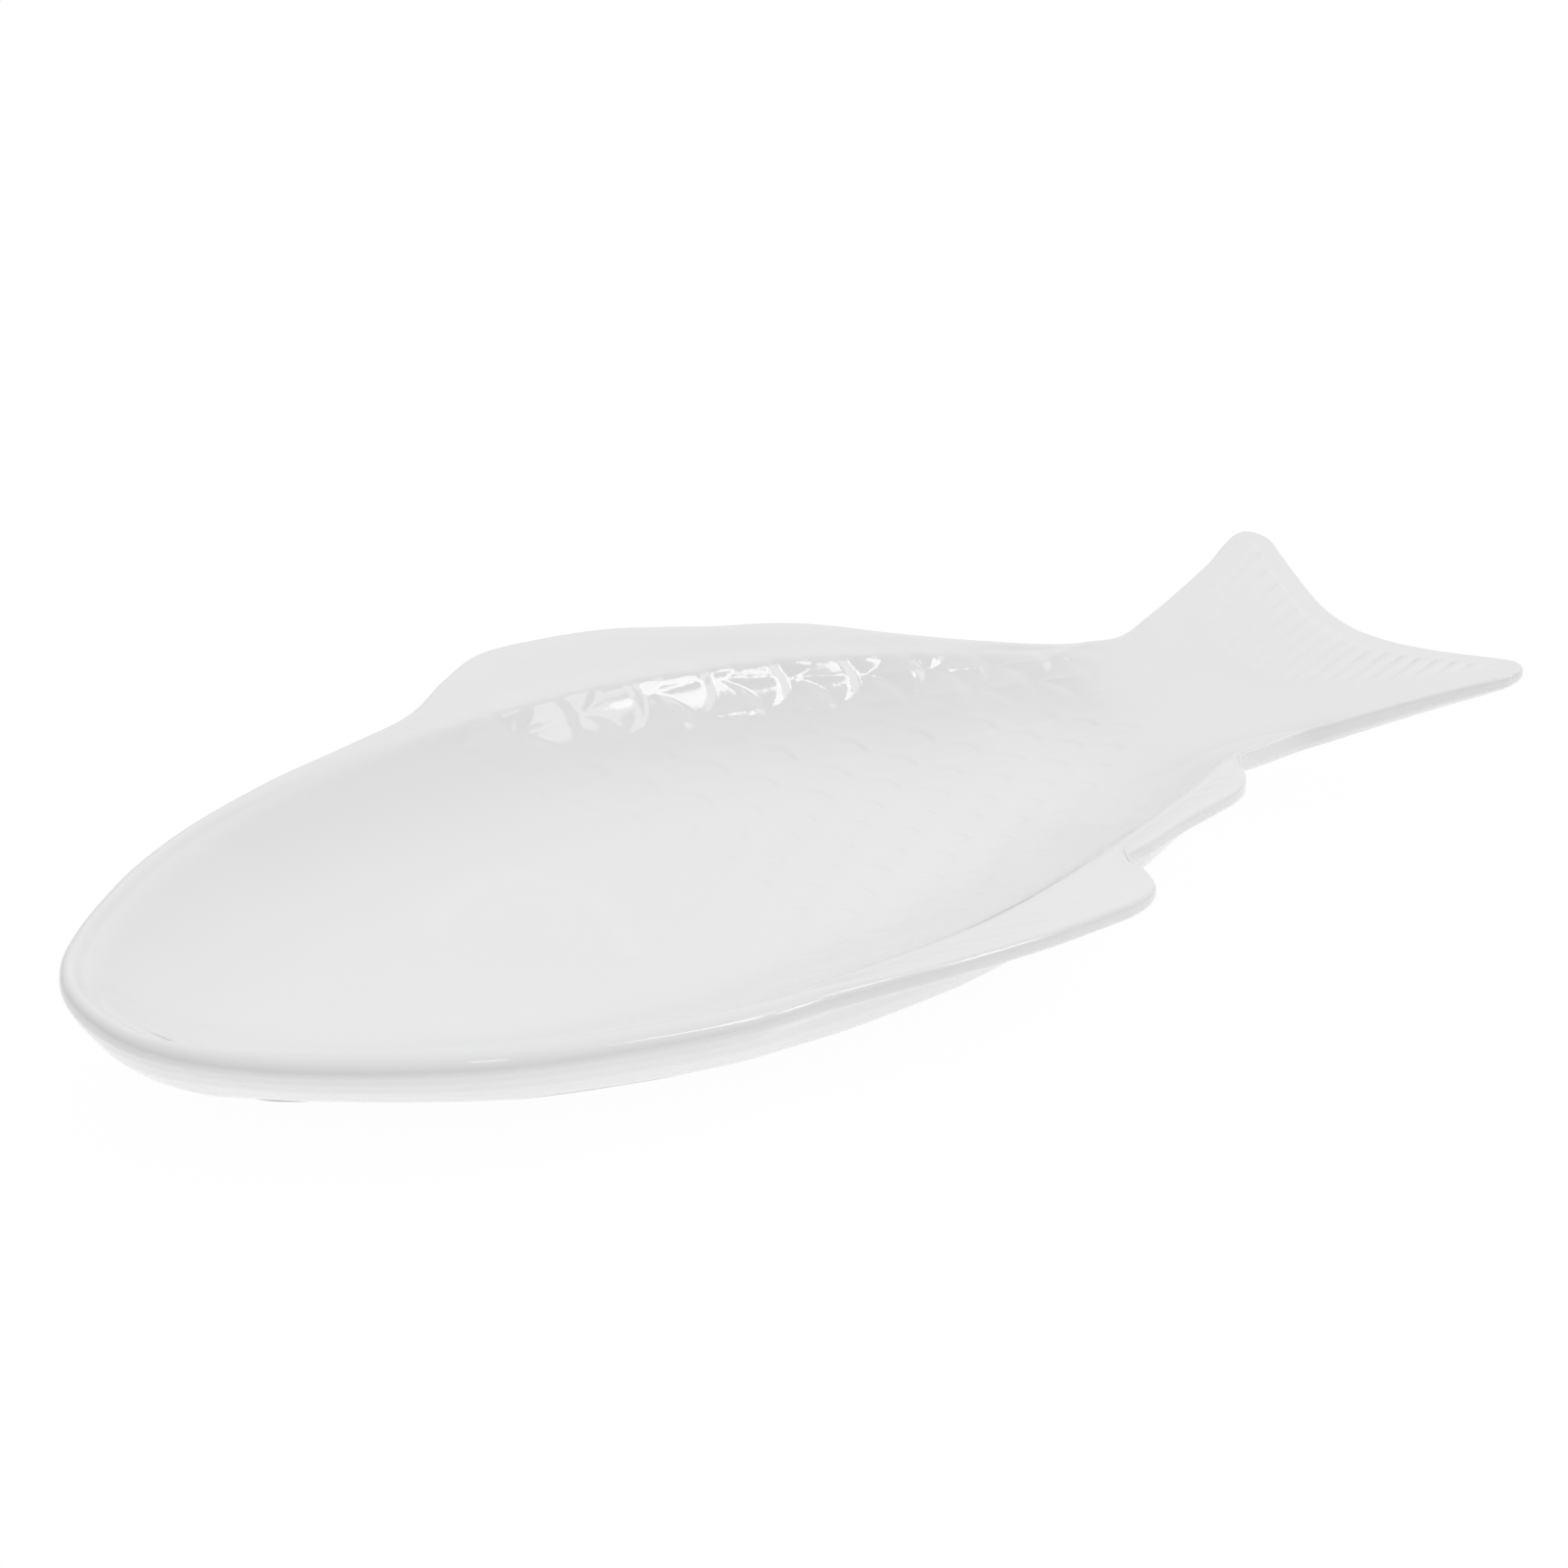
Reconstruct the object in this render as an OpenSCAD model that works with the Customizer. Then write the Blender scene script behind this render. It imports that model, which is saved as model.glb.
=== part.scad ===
// Fish shaped serving platter in glazed porcelain.
// X runs from the nose to the tail, Y across the body, Z up. The platter stands on Z = 0.
// It is one fired piece on the real thing. Its named regions meet face to face here.

/* [Overall] */
// Length from the nose to the tail tips
length = 300; // [260:5:340]
// Width of the body across its rim, without the fins
body_w = 143; // [120:1:160]
// Length of the tail, from its root to its tips
tail_l = 48; // [40:1:60]
// Width across the two tail tips
tail_span = 88; // [76:1:100]
// Width of the tail root
root_w = 58.4; // [50:0.2:66]
// How far the upper tail lobe is set back against the lower one
lobe_setback = 1.8; // [0:0.2:3]
// How far the well is drawn in behind the two fins of the belly side
belly_tuck = 4; // [0:0.5:5]

/* [Heights] */
// Height of the rim above the table
rim_h = 24; // [21:0.5:28]
// How far the rim dips at the tail root
root_drop = 3; // [0:0.5:5]
// How far the tail tips stand above the rim
tip_rise = 5; // [0:0.5:7]
// Depth of the well below the inner edge of the rim
well_depth = 15.7; // [12:0.1:17]
// Height of the tail on the long axis, at its root
root_axis_h = 15.5; // [13:0.5:18]
// Height of the tail on the long axis, at its trailing edge
trail_axis_h = 24; // [19:0.5:25]
// How far the rim falls from its crest to its inner edge
rim_fall = 0.8; // [0.2:0.1:1.5]

/* [Rim and walls] */
// Width of the rim from the outer edge to the well
rim_w = 5; // [4:0.1:7]
// Thickness of the rim and the fins
rim_t = 4.6; // [4:0.1:5.6]
// Thickness of the tail at its tips
tip_t = 2.9; // [2.6:0.1:5]
// Distance over which the well wall falls to the floor
well_run = 42; // [34:1:50]
// How far the outer wall starts outside the well
wall_overhang = 4.2; // [3:0.1:4.8]

/* [Fins] */
// Width of the dorsal fin ledge
dorsal_fin_w = 21; // [14:0.5:26]
// How far the dorsal fin edge stands above the rim
dorsal_fin_rise = 2.2; // [0:0.1:4]
// Width of the pelvic fin ledge
pelvic_fin_w = 18; // [14:0.5:20]
// Width of the anal fin ledge
anal_fin_w = 11; // [9:0.5:13]

/* [Foot ring] */
// Height of the foot ring
foot_h = 2.4; // [1.5:0.1:3.5]
// Width of the foot ring
foot_w = 4.5; // [3:0.1:6]
// Distance from the well edge in to the foot ring, at the sides
foot_inset = 20; // [16:0.5:24]

/* [Hidden] */
body_l = length - tail_l;
well_half_w = body_w / 2 - rim_w;
root_half_w = root_w / 2;
root_well_half_w = root_half_w - rim_w;
span_half_w = tail_span / 2;

// Edge of the well, nose to tail root: along the body, across the half body, spine end along the body
well_edge_shares = [
    [0.020, 0, 0.230], [0.025, 0.156, 0.234], [0.041, 0.280, 0.246], [0.066, 0.394, 0.266],
    [0.098, 0.504, 0.290], [0.151, 0.647, 0.325], [0.217, 0.783, 0.369], [0.300, 0.887, 0.417],
    [0.379, 0.953, 0.460], [0.443, 0.986, 0.500], [0.494, 0.998, 0.536], [0.542, 0.997, 0.571],
    [0.598, 0.977, 0.611], [0.645, 0.941, 0.647], [0.685, 0.899, 0.679], [0.717, 0.860, 0.706],
    [0.744, 0.823, 0.730], [0.768, 0.785, 0.754], [0.796, 0.740, 0.782], [0.832, 0.677, 0.813],
    [0.871, 0.605, 0.849], [0.907, 0.534, 0.885], [0.935, 0.475, 0.917], [0.959, 0.424, 0.948]];
// Inner edge of the tail, root to trailing edge: along the tail, out from the root, spine end
tail_edge_shares = [
    [0, 0, 0], [0.208, 0.110, 0.083], [0.448, 0.290, 0.167], [0.667, 0.480, 0.230],
    [0.800, 0.645, 0.290], [0.875, 0.715, 0.333], [0.900, 0.695, 0.365], [0.905, 0.600, 0.396],
    [0.885, 0.440, 0.430], [0.845, 0.165, 0.458], [0.780, -0.270, 0.490], [0.725, -0.735, 0.515],
    [0.700, -1.220, 0.531]];
// Direction in degrees from the well edge to the outer edge, and share of the fin width there
head_reach = [
    [180, 0], [164, 0], [144, 0], [133, 0], [126, 0], [119, 0], [112, 0], [102, 0], [96, 0]];
dorsal_reach = [
    [94, 0.12], [90, 0.56], [92, 0.89], [93, 0.92], [90, 0.88], [88, 0.71], [86, 0.55],
    [84, 0.50], [80, 0.47], [77, 0.36], [74, 0.14], [68, 0.01], [60, -0.09], [58, -0.12],
    [66, -0.12]];
pelvic_reach = [
    [91, 0.10], [85, 0.24], [73, 0.42], [66, 0.63], [62, 0.83], [66, 0.94], [73, 0.84],
    [91, 0.61], [124, 0.37]];
anal_reach = [[109, 0.50], [100, 0.49], [93, 0.67], [100, 0.95], [112, 0.99], [133, 0.54]];
tail_reach = [90, 98, 106, 108, 104, 92, 58, 22, -6, -18, -18, -10, 0];
tail_rim_share = 0.92;
// Width of the rim round the head on the dorsal side, as a share of the rim width
head_rim_shares = [1, 0.95, 0.92, 0.84, 0.8, 0.86, 0.82, 0.95, 1.04];
// How far the setback of the upper tail lobe is in force, near its tip
setback_shares = [0.15, 0.4, 0.65, 1, 0.85, 0.55, 0.3];
// How far the belly tuck is in force, from the first fin station to the tail
tuck_shares = [0.65, 0.9, 1, 1, 1, 1, 1, 1, 1, 1, 1, 1, 1, 1, 0.9, 0.55, 0.3, 0.12];

// Share of the root dip in the rim height, from the first dipping station to the root
dip_shares = [0.07, 0.17, 0.3, 0.5, 0.73, 0.93, 1.03];
dorsal_rise_shares = [0.2, 0.75, 1, 1, 0.93, 0.86, 0.8, 0.75, 0.66, 0.48, 0.25];
// Depth at the spine as a share of the well depth, from the first dipping station to the root
spine_depth_shares = [0.99, 0.955, 0.905, 0.83, 0.73, 0.61, 0.48];
// How far the flat tail form has taken over from the bowl form, from the same station on
tail_blend_shares = [0, 0, 0, 0.03, 0.14, 0.38, 0.72];
// Slope of the long axis where the tail starts, as a share of its mean slope over the tail
tail_start_share = 1.24;
// How far the rim has thinned to the tail tips, over the fins and over the tail
fin_thin_shares = [
    0.1, 0.3, 0.5, 0.6, 0.6, 0.6, 0.6, 0.6, 0.65, 0.8, 0.8, 0.75, 0.8, 0.7, 0.4];
thin_shares = [0, 0.1, 0.3, 0.55, 0.8, 0.95, 1, 1, 0.95, 0.85, 0.7, 0.55, 0.5];
// How far the wall under the rim is fuller than its plain form, from the nose on, and then on
full_wall_shares = [1, 0.35, 0, 0, 0, 0, 0, 0, 0.1, 0.7];
tail_wall_share = 1;
// Distance from the well edge to the foot ring, as a share of the foot inset
foot_shares = [
    1.12, 1.14, 1.20, 1.27, 1.28, 1.22, 1.13, 1.07, 1.02, 1, 1, 1, 0.98, 0.96, 0.93, 0.91, 0.90,
    0.91, 0.90, 0.97, 1.13, 1.60, 1.30, 1.05, 0.80, 0.85, 0.90, 0.90, 0.90, 0.90, 0.90, 0.90,
    0.90, 0.90, 0.90, 0.90, 0.90];

// Stations round half the outline, counted from the nose
fin_start = len(head_reach) - 1;
root_station = len(well_edge_shares);
last_station = root_station + len(tail_edge_shares) - 1;
pelvic_end = fin_start + len(pelvic_reach);
dip_start = pelvic_end;
dorsal_end = fin_start + len(dorsal_rise_shares);
anal_end = root_station;
setback_start = root_station + 5;
foot_end = root_station - 3;
dorsal_side = 1;
belly_side = -1;
steps = 3;
span = last_station * steps;

// Rings of the surface from the outer edge to the spine
edge_rings = 3;
ledge_rings = 2;
wall_ring_shares = [0.2, 0.45, 0.72, 1];
floor_ring_shares = [0.45, 1];
well_ring = edge_rings + ledge_rings;
last_ring = well_ring + len(wall_ring_shares) + len(floor_ring_shares);
bowl_power = 2.15;
under_power = 1.5;
full_under_power = 2.1;
edge_power = 3;
least_wall_share = 0.8;
least_reach_share = 0.6;
spoke_end_share = 0.95;

function mix(a, b, s) = a + (b - a) * s;
function clamp(v) = min(1, max(0, v));
function unit(v) = v / norm(v);
function smooth(u) = u * u * (3 - 2 * u);
// Value of a table that starts at a station, and a rest value outside it
function at(table, first, i, rest) =
    i < first || i >= first + len(table) ? rest : table[i - first];

// Reach from the well edge to the outer edge at a station, as an angle and a length
function body_reach(side, i) =
    i <= fin_start
        ? [head_reach[i][0], rim_w * (side == dorsal_side ? head_rim_shares[i] : 1)]
    : side == dorsal_side ? fin_reach(dorsal_reach[i - fin_start - 1], dorsal_fin_w)
    : i < pelvic_end + 1 ? fin_reach(pelvic_reach[i - fin_start - 1], pelvic_fin_w)
    : fin_reach(anal_reach[i - pelvic_end - 1], anal_fin_w);
function fin_reach(row, fin_w) =
    [row[0], max(mix(rim_w, fin_w, row[1]), rim_t * least_reach_share)];
function reach(side, i) =
    i < root_station ? body_reach(side, i)
    : [tail_reach[i - root_station], rim_w * tail_rim_share];

// Height of the tail: a shallow trough that flattens and rises towards the trailing edge. Before
// the root the long axis goes on along its first slope
function tail_z(x, y) =
    let (
        way = (x - body_l) / tail_l, u = clamp(way),
        rise = tail_start_share * (u * pow(1 - u, 2) + min(way, 0)) + smooth(u),
        axis_z = mix(root_axis_h, trail_axis_h, rise),
        edge_z = mix(rim_h - root_drop, rim_h + tip_rise, u),
        half_w = mix(root_half_w, span_half_w, u))
    axis_z + (edge_z - axis_z) * pow(min(1, abs(y) / half_w), 2);

// One station: outer edge, well edge, spine, rim height, well edge height, spine height,
// thickness, distance to the foot, tail blend, power of the fall of the lower face
function station(side, i) =
    let (
        tail = i >= root_station,
        setback = side == dorsal_side
            ? lobe_setback * at(setback_shares, setback_start, i, 0) : 0,
        s = tail ? tail_edge_shares[i - root_station] : well_edge_shares[i],
        well = tail
            ? [body_l + s[0] * tail_l - setback,
               root_well_half_w + s[1] * (span_half_w - root_well_half_w)]
            : [s[0] * body_l, s[1] * well_half_w],
        tuck = side == belly_side ? belly_tuck * at(tuck_shares, fin_start + 1, i, 0) : 0,
        drawn = well - [0, tuck],
        spine = tail ? body_l + s[2] * tail_l : s[2] * body_l,
        r = reach(side, i),
        edge = drawn + r[1] * [cos(r[0]), sin(r[0])],
        rim = tail ? tail_z(edge[0], edge[1])
            : rim_h - root_drop * at(dip_shares, dip_start, i, 0),
        fin_rise = side == dorsal_side
            ? dorsal_fin_rise * at(dorsal_rise_shares, fin_start + 1, i, 0) : 0,
        ledge = tail ? tail_z(drawn[0], drawn[1]) : rim - rim_fall,
        floor_z = tail ? tail_z(spine, 0)
            : ledge - well_depth * at(spine_depth_shares, dip_start, i, 1),
        thinned = tail ? thin_shares[i - root_station]
            : at(fin_thin_shares, fin_start + 1, i, 0),
        t = mix(rim_t, tip_t, thinned))
    [edge[0], edge[1], drawn[0], drawn[1], spine, rim + fin_rise, ledge, floor_z, t,
     foot_inset * foot_shares[i], tail ? 1 : at(tail_blend_shares, dip_start, i, 0),
     mix(under_power, full_under_power, at(full_wall_shares, 0, i, tail_wall_share))];

// The same station seen in the long axis, so that the curve closes smoothly at both ends
function mirrored(q) =
    [q[0], -q[1], q[2], -q[3], q[4], q[5], q[6], q[7], q[8], q[9], q[10], q[11]];
function curve(a, b, c, d, u) =
    0.5 * (2 * b + (c - a) * u + (2 * a - 5 * b + 4 * c - d) * u * u
    + (3 * b - a - 3 * c + d) * u * u * u);
function stations(side) = [for (i = [0 : last_station]) station(side, i)];
function before(rows, i) = i == 0 ? mirrored(rows[1]) : rows[i - 1];
function after(rows, i) = i >= last_station ? mirrored(rows[last_station - 1]) : rows[i + 1];
function spokes(rows) = [for (j = [0 : span])
    let (i = min(floor(j / steps), last_station - 1), u = j / steps - i)
    curve(before(rows, i), rows[i], rows[i + 1], after(rows, i + 1), u)];

// Heights along one spoke at a point p, a distance in from the well edge
function bowl_z(q, d, run, p) =
    mix(q[6] - (q[6] - q[7]) * (1 - pow(1 - clamp(d / run), bowl_power)),
        tail_z(p[0], p[1]), clamp(q[10]));
function under_fall(q, d, foot_d) =
    (q[6] - q[8] - foot_h) * (1 - clamp(q[10]))
    * (1 - pow(1 - clamp((d + wall_overhang) / (foot_d + wall_overhang)), q[11]));
function bowl_under_z(q, d, run, foot_d, p) =
    let (
        top = bowl_z(q, d, run, p),
        wall = q[6] - q[8] - under_fall(q, d, foot_d),
        low = mix(wall, top - q[8], clamp(q[10])))
    max(foot_h, min(low, top - q[8] * least_wall_share));

// Points of one spoke from the outer edge to the spine, each with its upper and lower height.
// The edge is squarer above than below
function ring_points(q) =
    let (
        edge = [q[0], q[1]], well = [q[2], q[3]], spine = [q[4], 0],
        reach_l = norm(well - edge), inward = unit(well - edge),
        spoke_l = norm(spine - well), along = unit(spine - well),
        r = q[8] / 2, run = min(well_run, spoke_l),
        foot_d = min(q[9], spoke_l * spoke_end_share))
    concat(
        [for (m = [0 : edge_rings])
            let (
                a = 90 * m / edge_rings, out = pow(cos(a), 2 / edge_power),
                p = edge + inward * r * (1 - out))
            [p[0], p[1], q[5] - r + r * pow(sin(a), 2 / edge_power),
             q[5] - r - r * sqrt(1 - out * out)]],
        [for (m = [1 : ledge_rings])
            let (
                v = m / ledge_rings, d = mix(r, reach_l, v), p = edge + inward * d,
                top = mix(q[5], q[6], smooth(v)),
                fall = under_fall(q, d - reach_l, foot_d))
            [p[0], p[1], top, max(foot_h, top - q[8] - fall)]],
        [for (d = concat(
                [for (v = wall_ring_shares) v * foot_d],
                [for (v = floor_ring_shares) mix(foot_d, spoke_l, v)]))
            let (p = well + along * d)
            [p[0], p[1], bowl_z(q, d, run, p), bowl_under_z(q, d, run, foot_d, p)]]);

dorsal_rings = [for (q = spokes(stations(dorsal_side))) ring_points(q)];
belly_rings = [for (q = spokes(stations(belly_side))) ring_points(q)];
sides = [dorsal_rings, belly_rings];
dorsal_edge_y = max([for (s = dorsal_rings) s[0][1]]);
belly_edge_y = max([for (s = belly_rings) s[0][1]]);
tail_edge_x = max([for (side = sides) for (s = side) s[0][0]]);
nose_edge_x = min([for (side = sides) for (s = side) s[0][0]]);
// The origin is under the middle of the overall box
centre = [(nose_edge_x + tail_edge_x) / 2, (dorsal_edge_y - belly_edge_y) / 2];

// Every surface point once: layer 0 is the upper face, layer 1 the lower face
points = [for (layer = [0, 1]) for (side = [0, 1]) for (j = [0 : span]) for (k = [0 : last_ring])
    let (p = sides[side][j][k], sy = side == 0 ? 1 : -1)
    [p[0] - centre[0], sy * p[1] - centre[1], p[2 + layer]]];
function id(layer, side, j, k) =
    let (
        one_side = k == last_ring || j == 0 || j == span,
        l = k == 0 ? 0 : layer, s = one_side ? 0 : side)
    ((l * 2 + s) * (span + 1) + j) * (last_ring + 1) + k;

function triangle(a, b, c) = a == b || b == c || a == c ? [] : [[a, b, c]];
function quad(a, b, c, d) = concat(triangle(a, b, c), triangle(a, c, d));
function turned(side, a, b, c, d) = side == 0 ? quad(a, b, c, d) : quad(a, d, c, b);
// One cell of a face. Its diagonal keeps both triangles open where the spokes end on the axis
function cell(side, j, a, b, c, d) = j < root_station * steps
    ? turned(side, b, c, d, a) : turned(side, a, b, c, d);
// Upper and lower faces over a patch of one side, between two spokes and two rings
function patch(side, j0, j1, k0, k1) = [
    for (j = [j0 : j1 - 1]) for (k = [k0 : k1 - 1]) each concat(
        cell(side, j, id(0, side, j, k), id(0, side, j + 1, k),
            id(0, side, j + 1, k + 1), id(0, side, j, k + 1)),
        cell(side, j, id(1, side, j, k), id(1, side, j, k + 1),
            id(1, side, j + 1, k + 1), id(1, side, j + 1, k)))];
// Upright faces that close a patch along a ring, facing out of the well or into it
function ring_wall(side, j0, j1, k, outward) = [
    for (j = [j0 : j1 - 1]) each outward
        ? turned(side, id(0, side, j + 1, k), id(0, side, j, k),
            id(1, side, j, k), id(1, side, j + 1, k))
        : turned(side, id(0, side, j, k), id(0, side, j + 1, k),
            id(1, side, j + 1, k), id(1, side, j, k))];
// Upright faces that close a patch along a spoke, facing the tail or the nose
function spoke_wall(side, j, k0, k1, to_tail) = [
    for (k = [k0 : k1 - 1]) each to_tail
        ? turned(side, id(0, side, j, k + 1), id(0, side, j, k),
            id(1, side, j, k), id(1, side, j, k + 1))
        : turned(side, id(0, side, j, k), id(0, side, j, k + 1),
            id(1, side, j, k + 1), id(1, side, j, k))];
// A fin is the ledge outside the well edge, between two stations of one side
function fin_faces(side, first, last) = concat(
    patch(side, first * steps, last * steps, 0, well_ring),
    ring_wall(side, first * steps, last * steps, well_ring, false),
    spoke_wall(side, first * steps, 0, well_ring, false),
    spoke_wall(side, last * steps, 0, well_ring, true));

// Closed outline of the foot ring, which ends on the spine, and the same outline moved in
foot_spokes = foot_end * steps;
function foot_point(rings, j, sy) =
    let (p = rings[j][j < foot_spokes ? well_ring + len(wall_ring_shares) : last_ring])
    [p[0], sy * p[1]] - centre;
foot_outline = concat(
    [for (j = [0 : foot_spokes]) foot_point(dorsal_rings, j, 1)],
    [for (j = [foot_spokes - 1 : -1 : 1]) foot_point(belly_rings, j, -1)]);
foot_count = len(foot_outline);
function foot_inner(i) =
    let (
        run = foot_outline[(i + 1) % foot_count]
            - foot_outline[(i + foot_count - 1) % foot_count])
    foot_outline[i] + foot_w * unit([run[1], -run[0]]);

// The well, its wall, the plain rim round the head and the rim between the fins
module dish_body() {
    root = root_station * steps;
    start = fin_start * steps;
    color("whitesmoke")
        polyhedron(points, concat(
            patch(0, 0, root, well_ring, last_ring),
            patch(1, 0, root, well_ring, last_ring),
            patch(0, 0, start, 0, well_ring),
            patch(1, 0, start, 0, well_ring),
            patch(0, dorsal_end * steps, root, 0, well_ring),
            ring_wall(0, start, dorsal_end * steps, well_ring, true),
            ring_wall(1, start, root, well_ring, true),
            spoke_wall(0, start, 0, well_ring, true),
            spoke_wall(1, start, 0, well_ring, true),
            spoke_wall(0, dorsal_end * steps, 0, well_ring, false),
            spoke_wall(0, root, 0, last_ring, true),
            spoke_wall(1, root, well_ring, last_ring, true)));
}

module dorsal_fin() {
    color("white") polyhedron(points, fin_faces(0, fin_start, dorsal_end));
}

module pelvic_fin() {
    color("white") polyhedron(points, fin_faces(1, fin_start, pelvic_end));
}

module anal_fin() {
    color("white") polyhedron(points, fin_faces(1, pelvic_end, anal_end));
}

// The tail from its root to the trailing edge, both lobes
module tail_fin() {
    root = root_station * steps;
    color("white")
        polyhedron(points, concat(
            patch(0, root, span, 0, last_ring),
            patch(1, root, span, 0, last_ring),
            spoke_wall(0, root, 0, last_ring, false),
            spoke_wall(1, root, 0, last_ring, false)));
}

// The ring that the platter stands on
module foot_ring() {
    color("gainsboro")
        linear_extrude(foot_h)
            difference() {
                polygon(foot_outline);
                polygon([for (i = [0 : foot_count - 1]) foot_inner(i)]);
            }
}

dish_body();
dorsal_fin();
pelvic_fin();
anal_fin();
tail_fin();
foot_ring();
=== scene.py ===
# Fish shaped serving platter in white glazed porcelain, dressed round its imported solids.
# Every surface is worked out in millimetres on one grid of spokes, so that the named pieces
# share their seam points, and it is put into the meshes in metres.
import bpy
import math
import numpy as np
from mathutils import Matrix


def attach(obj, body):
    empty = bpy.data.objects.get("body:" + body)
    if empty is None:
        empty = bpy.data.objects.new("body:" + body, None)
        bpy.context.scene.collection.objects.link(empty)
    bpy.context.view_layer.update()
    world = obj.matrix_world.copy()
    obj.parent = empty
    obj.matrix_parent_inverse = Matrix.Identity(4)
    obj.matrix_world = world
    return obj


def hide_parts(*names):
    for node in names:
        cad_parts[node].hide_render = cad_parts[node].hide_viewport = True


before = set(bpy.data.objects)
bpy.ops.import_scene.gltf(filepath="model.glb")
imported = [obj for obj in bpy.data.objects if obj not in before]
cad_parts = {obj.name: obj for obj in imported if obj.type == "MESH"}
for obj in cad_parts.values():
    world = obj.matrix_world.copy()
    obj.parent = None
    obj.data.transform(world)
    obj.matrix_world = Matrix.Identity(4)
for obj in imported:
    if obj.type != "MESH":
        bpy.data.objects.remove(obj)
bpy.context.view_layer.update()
mm = 0.001

# Outline and heights
platter = {
    "length": 300, "bodyWidth": 143, "tailLength": 48, "tailSpan": 88, "rootWidth": 58.4,
    "rimHeight": 24, "rootDrop": 3, "tipRise": 5, "wellDepth": 15.7,
    "rootAxisHeight": 15.5, "trailAxisHeight": 24, "rimFall": 0.8,
    "rimWidth": 5, "rimThickness": 4.6, "tipThickness": 2.9, "wellRun": 42, "wallOverhang": 4.2,
    "dorsalWidth": 21, "dorsalRise": 2.2, "pelvicWidth": 18, "analWidth": 11, "bellyTuck": 4,
    "tailStart": 1.24, "lobeSetback": 1.8,
    "footHeight": 2.4, "footWidth": 4.5, "footInset": 20,
    "tailRimShare": 0.92, "leastReachShare": 0.6, "leastWallShare": 0.8, "spokeEndShare": 0.95,
    "bowlPower": 2.15, "underPower": 1.5, "fullUnderPower": 2.1,
}
# edge of the well from the nose to the tail root: along the body, across it, spine end along it
wellEdge = np.array([
    [0.020, 0, 0.230], [0.025, 0.156, 0.234], [0.041, 0.280, 0.246], [0.066, 0.394, 0.266],
    [0.098, 0.504, 0.290], [0.151, 0.647, 0.325], [0.217, 0.783, 0.369], [0.300, 0.887, 0.417],
    [0.379, 0.953, 0.460], [0.443, 0.986, 0.500], [0.494, 0.998, 0.536], [0.542, 0.997, 0.571],
    [0.598, 0.977, 0.611], [0.645, 0.941, 0.647], [0.685, 0.899, 0.679], [0.717, 0.860, 0.706],
    [0.744, 0.823, 0.730], [0.768, 0.785, 0.754], [0.796, 0.740, 0.782], [0.832, 0.677, 0.813],
    [0.871, 0.605, 0.849], [0.907, 0.534, 0.885], [0.935, 0.475, 0.917], [0.959, 0.424, 0.948]])
# inner edge of the tail from its root to the trailing edge: along it, out from the root, spine end
tailEdge = np.array([
    [0, 0, 0], [0.208, 0.110, 0.083], [0.448, 0.290, 0.167], [0.667, 0.480, 0.230],
    [0.800, 0.645, 0.290], [0.875, 0.715, 0.333], [0.900, 0.695, 0.365], [0.905, 0.600, 0.396],
    [0.885, 0.440, 0.430], [0.845, 0.165, 0.458], [0.780, -0.270, 0.490], [0.725, -0.735, 0.515],
    [0.700, -1.220, 0.531]])
# direction in degrees from the well edge to the outer edge round the head
headAngles = [180, 164, 144, 133, 126, 119, 112, 102, 96]
# the same direction along each fin, and how far the edge stands out there between the width of
# the rim at 0 and the width of the fin at 1
dorsalReach = [
    [94, 0.12], [90, 0.56], [92, 0.89], [93, 0.92], [90, 0.88], [88, 0.71], [86, 0.55],
    [84, 0.50], [80, 0.47], [77, 0.36], [74, 0.14], [68, 0.01], [60, -0.09], [58, -0.12],
    [66, -0.12]]
pelvicReach = [
    [91, 0.10], [85, 0.24], [73, 0.42], [66, 0.63], [62, 0.83], [66, 0.94], [73, 0.84], [91, 0.61],
    [124, 0.37]]
analReach = [[109, 0.50], [100, 0.49], [93, 0.67], [100, 0.95], [112, 0.99], [133, 0.54]]
# width of the rim round the head on the dorsal side, as a share of the rim width
headRimShares = [1, 0.95, 0.92, 0.84, 0.8, 0.86, 0.82, 0.95, 1.04]
# how far the upper lobe of the tail is set back, as a share of the setback, near its tip
setbackShares = [0.15, 0.4, 0.65, 1, 0.85, 0.55, 0.3]
# how far the wall under the rim is fuller than its plain form, from the nose on
fullShares = [1, 0.35, 0, 0, 0, 0, 0, 0, 0.1, 0.7] + [1] * 27
# how far the belly side of the well is drawn in, as a share of the tuck, from the first fin on
tuckShares = [0.65, 0.9, 1, 1, 1, 1, 1, 1, 1, 1, 1, 1, 1, 1, 0.9, 0.55, 0.3, 0.12]
# direction from the inner edge of the tail to the outer edge
tailAngles = [90, 98, 106, 108, 104, 92, 58, 22, -6, -18, -18, -10, 0]
# along the stations, as shares: how far the rim dips before the root, how far the ledge of the
# dorsal fin rises, depth of the well on its spine, part of the tail form before the root, how
# far the fins and the tail thin out, and distance from the well edge to the foot
dipShares = [0.07, 0.17, 0.3, 0.5, 0.73, 0.93, 1.03]
dorsalRiseShares = [0.2, 0.75, 1, 1, 0.93, 0.86, 0.8, 0.75, 0.66, 0.48, 0.25]
spineDepthShares = [0.99, 0.955, 0.905, 0.83, 0.73, 0.61, 0.48]
tailBlendShares = [0, 0, 0, 0.03, 0.14, 0.38, 0.72]
finThinShares = [0.1, 0.3, 0.5, 0.6, 0.6, 0.6, 0.6, 0.6, 0.65, 0.8, 0.8, 0.75, 0.8, 0.7, 0.4]
tailThinShares = [0, 0.1, 0.3, 0.55, 0.8, 0.95, 1, 1, 0.95, 0.85, 0.7, 0.55, 0.5]
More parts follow.
